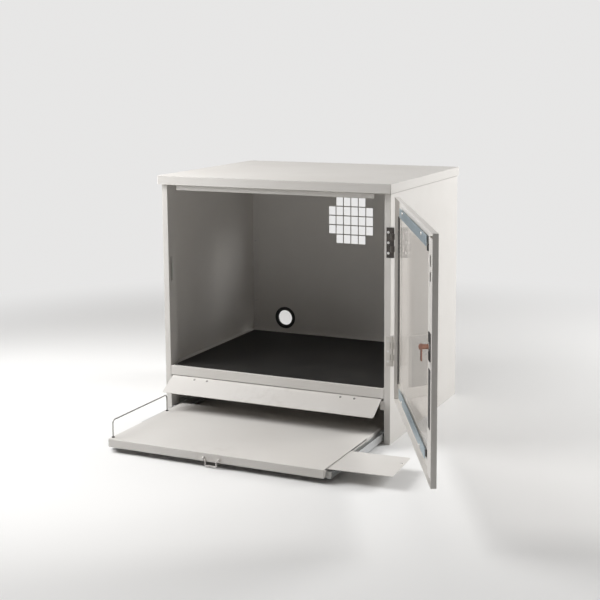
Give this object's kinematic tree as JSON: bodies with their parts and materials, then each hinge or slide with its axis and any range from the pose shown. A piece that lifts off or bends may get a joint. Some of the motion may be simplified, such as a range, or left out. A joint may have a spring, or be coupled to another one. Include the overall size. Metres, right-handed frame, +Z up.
{
  "type": "computer cabinet",
  "caption": "Lockable sheet-metal computer cabinet with a windowed hinged door, lift-up flap, pull-out tray with wire guard, and a side shelf that swings out from under the tray.",
  "frame": {"origin": "centre of the cabinet's footprint on the floor", "axes": "+Z up, -Y out of the front (the door and tray side), +X to the hinge side of the door"},
  "size_m": [0.9407, 1.0731, 0.638],
  "materials": {
    "paint": "pale warm grey powder coat, fine texture",
    "zinc": "bright zinc plating, bluish",
    "bright_steel": "bright plated fasteners",
    "dark_hinge": "dark burnished steel",
    "clear_sheet": "clear polished sheet",
    "black_rubber": "matt black",
    "black_plastic": "fine grained black",
    "brass": "dull lacquered brass"
  },
  "bodies": {
    "cabinet": {"left_side_panel": "paint", "right_side_panel": "paint", "base_panel": "paint", "rear_panel": "paint", "cable_grommet": "black_rubber", "rear_panel_screws": "bright_steel", "lid": "paint", "lid_screws": "bright_steel", "top_rail": "paint", "equipment_shelf": "paint", "shelf_mat": "black_rubber", "end_bracket_left": "paint", "end_bracket_right": "paint", "slide_outer_left": "zinc", "slide_outer_right": "zinc", "slide_mount_left": "zinc", "slide_mount_right": "zinc", "slide_rivets": "bright_steel", "hinge_frame_leaf_upper": "dark_hinge", "hinge_frame_leaf_lower": "paint", "hinge_frame_screws": "bright_steel", "door_hinge_pins": "bright_steel", "flap_frame_leaf_left": "paint", "flap_frame_leaf_right": "paint", "flap_pins": "bright_steel"},
    "door": {"door_pan": "paint", "window_pane": "clear_sheet", "pane_gasket": "black_rubber", "pane_blocks": "black_rubber", "retainer_top": "zinc", "retainer_bottom": "zinc", "retainer_screws": "bright_steel", "lock_stile": "paint", "grip_shell": "black_plastic", "lock_housing": "bright_steel", "lock_plate": "black_plastic", "hinge_door_leaf_upper": "dark_hinge", "hinge_door_leaf_lower": "paint", "hinge_door_rivets": "bright_steel"},
    "lock": {"lock_spindle": "brass", "lock_cam": "zinc", "lock_nut": "bright_steel"},
    "flap": {"flap_panel": "paint", "flap_leaf_left": "paint", "flap_leaf_right": "paint", "flap_rivets": "bright_steel"},
    "runners": {"slide_middle_left": "zinc", "slide_middle_right": "zinc"},
    "tray": {"tray_pan": "paint", "slide_inner_left": "zinc", "slide_inner_right": "zinc", "tray_screws": "bright_steel", "guard_wire": "zinc", "guard_bushes": "black_plastic", "bail_eyes": "paint", "shelf_pivot": "bright_steel"},
    "bail": {"pull_bail": "paint"},
    "side_shelf": {"side_shelf": "paint"}
  },
  "joints": [
    {"name": "door_swing", "type": "hinge", "parent": "cabinet", "child": "door", "pos_m": [0.3191, -0.2525, 0.361], "axis": [0, 0, 1], "range_deg": [-117, 43]},
    {"name": "lock_turn", "type": "hinge", "parent": "door", "child": "lock", "pos_m": [0.59331, -0.78517, 0.385], "axis": [0.891, 0.454, 0], "range_deg": [-90, 0]},
    {"name": "flap_lift", "type": "hinge", "parent": "cabinet", "child": "flap", "pos_m": [0, -0.2533, 0.1093], "axis": [-1, 0, 0], "range_deg": [-60, 25]},
    {"name": "runner_slide", "type": "slide", "parent": "cabinet", "child": "runners", "axis": [0, -1, 0], "range_m": [-0.156, 0]},
    {"name": "tray_slide", "type": "slide", "parent": "runners", "child": "tray", "axis": [0, -1, 0], "range_m": [-0.156, 0]},
    {"name": "side_shelf_swing", "type": "hinge", "parent": "tray", "child": "side_shelf", "pos_m": [0.255, -0.537, 0.03], "axis": [0, 0, -1], "range_deg": [-86, 0]},
    {"name": "bail_lift", "type": "hinge", "parent": "tray", "child": "bail", "pos_m": [0, -0.5825, 0.02], "axis": [-1, 0, 0], "range_deg": [0, 85]}
  ]
}
